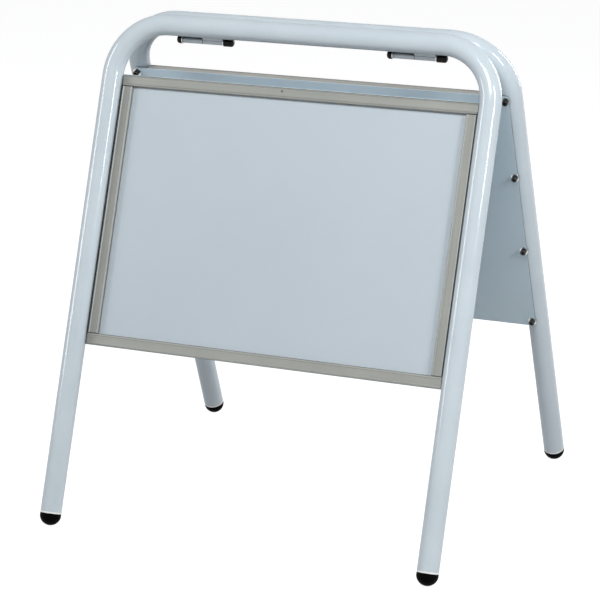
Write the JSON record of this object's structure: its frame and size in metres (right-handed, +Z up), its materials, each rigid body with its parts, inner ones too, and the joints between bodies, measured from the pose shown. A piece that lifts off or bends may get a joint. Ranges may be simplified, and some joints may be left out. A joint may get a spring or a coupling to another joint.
{
  "type": "pavement sign stand",
  "caption": "Folding A-frame pavement sign stand: bent tube hoops hinged at the top, a snap-open poster frame on each face, domed rubber feet.",
  "frame": {"origin": "on the ground, in the middle between the feet", "axes": "+X to the right seen from the front face, +Y towards the rear face, +Z up"},
  "size_m": [0.699, 0.6568, 0.8061],
  "materials": {
    "white_paint": "semi-gloss powder coat",
    "sheet_paint": "satin blue-grey coat",
    "champagne_aluminium": "satin champagne anodised",
    "base_aluminium": "satin anodised",
    "black_rubber": "matte black",
    "zinc_steel": "zinc plated",
    "black_plastic": "black moulded",
    "poster_paper": "blank matte sheet",
    "white_board": "white foam-core board",
    "clear_sheet": "clear sheet",
    "foam_tape": "foam tape",
    "spring_steel": "spring steel"
  },
  "bodies": {
    "front_frame": {"front_backing_sheet": "sheet_paint", "front_base_rail_bottom": "base_aluminium", "front_base_rail_left": "base_aluminium", "front_base_rail_right": "base_aluminium", "front_base_rail_top": "base_aluminium", "front_clear_cover": "clear_sheet", "front_corner_keys": "zinc_steel", "front_foot_left": "black_rubber", "front_foot_right": "black_rubber", "front_hoop": "white_paint", "front_poster": "poster_paper", "front_poster_board": "white_board", "front_rivet_nuts": "zinc_steel", "front_sheet_screws": "zinc_steel", "front_sheet_washers": "zinc_steel", "front_snap_springs": "spring_steel", "front_tape_strips": "foam_tape", "hinge_head_caps": "black_plastic", "hinge_left_bolt": "zinc_steel", "hinge_left_front_knuckle": "white_paint", "hinge_nut_caps": "black_plastic", "hinge_nuts": "zinc_steel", "hinge_right_bolt": "zinc_steel", "hinge_right_front_knuckle": "white_paint", "hinge_washers": "zinc_steel"},
    "rear_frame": {"hinge_left_rear_knuckle": "white_paint", "hinge_right_rear_knuckle": "white_paint", "rear_backing_sheet": "sheet_paint", "rear_base_rail_bottom": "base_aluminium", "rear_base_rail_left": "base_aluminium", "rear_base_rail_right": "base_aluminium", "rear_base_rail_top": "base_aluminium", "rear_clear_cover": "clear_sheet", "rear_corner_keys": "zinc_steel", "rear_foot_left": "black_rubber", "rear_foot_right": "black_rubber", "rear_hoop": "white_paint", "rear_poster": "poster_paper", "rear_poster_board": "white_board", "rear_rivet_nuts": "zinc_steel", "rear_sheet_screws": "zinc_steel", "rear_sheet_washers": "zinc_steel", "rear_snap_springs": "spring_steel", "rear_tape_strips": "foam_tape"},
    "front_cover_top": {"front_snap_cover_top": "champagne_aluminium"},
    "front_cover_bottom": {"front_snap_cover_bottom": "champagne_aluminium"},
    "front_cover_left": {"front_snap_cover_left": "champagne_aluminium"},
    "front_cover_right": {"front_snap_cover_right": "champagne_aluminium"},
    "rear_cover_top": {"rear_snap_cover_top": "champagne_aluminium"},
    "rear_cover_bottom": {"rear_snap_cover_bottom": "champagne_aluminium"},
    "rear_cover_left": {"rear_snap_cover_left": "champagne_aluminium"},
    "rear_cover_right": {"rear_snap_cover_right": "champagne_aluminium"}
  },
  "joints": [
    {"name": "fold", "type": "hinge", "parent": "front_frame", "child": "rear_frame", "pos_m": [0, 0, 0.76261], "axis": [-1, 0, 0], "range_deg": [0, 38]},
    {"name": "front_top_snap", "type": "hinge", "parent": "front_frame", "child": "front_cover_top", "pos_m": [0, -0.04533, 0.70307], "axis": [-1, 0, 0], "range_deg": [0, 90]},
    {"name": "front_bottom_snap", "type": "hinge", "parent": "front_frame", "child": "front_cover_bottom", "pos_m": [0, -0.20385, 0.28576], "axis": [1, 0, 0], "range_deg": [0, 90]},
    {"name": "front_right_snap", "type": "hinge", "parent": "front_frame", "child": "front_cover_right", "pos_m": [0.3102, -0.12459, 0.49441], "axis": [0, 0.3551, 0.9348], "range_deg": [0, 80]},
    {"name": "front_left_snap", "type": "hinge", "parent": "front_frame", "child": "front_cover_left", "pos_m": [-0.3102, -0.12459, 0.49441], "axis": [0, -0.3551, -0.9348], "range_deg": [0, 80]},
    {"name": "rear_top_snap", "type": "hinge", "parent": "rear_frame", "child": "rear_cover_top", "pos_m": [0, 0.04533, 0.70307], "axis": [1, 0, 0], "range_deg": [0, 90]},
    {"name": "rear_bottom_snap", "type": "hinge", "parent": "rear_frame", "child": "rear_cover_bottom", "pos_m": [0, 0.20385, 0.28576], "axis": [-1, 0, 0], "range_deg": [0, 90]},
    {"name": "rear_right_snap", "type": "hinge", "parent": "rear_frame", "child": "rear_cover_right", "pos_m": [-0.3102, 0.12459, 0.49441], "axis": [0, -0.3551, 0.9348], "range_deg": [0, 80]},
    {"name": "rear_left_snap", "type": "hinge", "parent": "rear_frame", "child": "rear_cover_left", "pos_m": [0.3102, 0.12459, 0.49441], "axis": [0, 0.3551, -0.9348], "range_deg": [0, 80]}
  ]
}
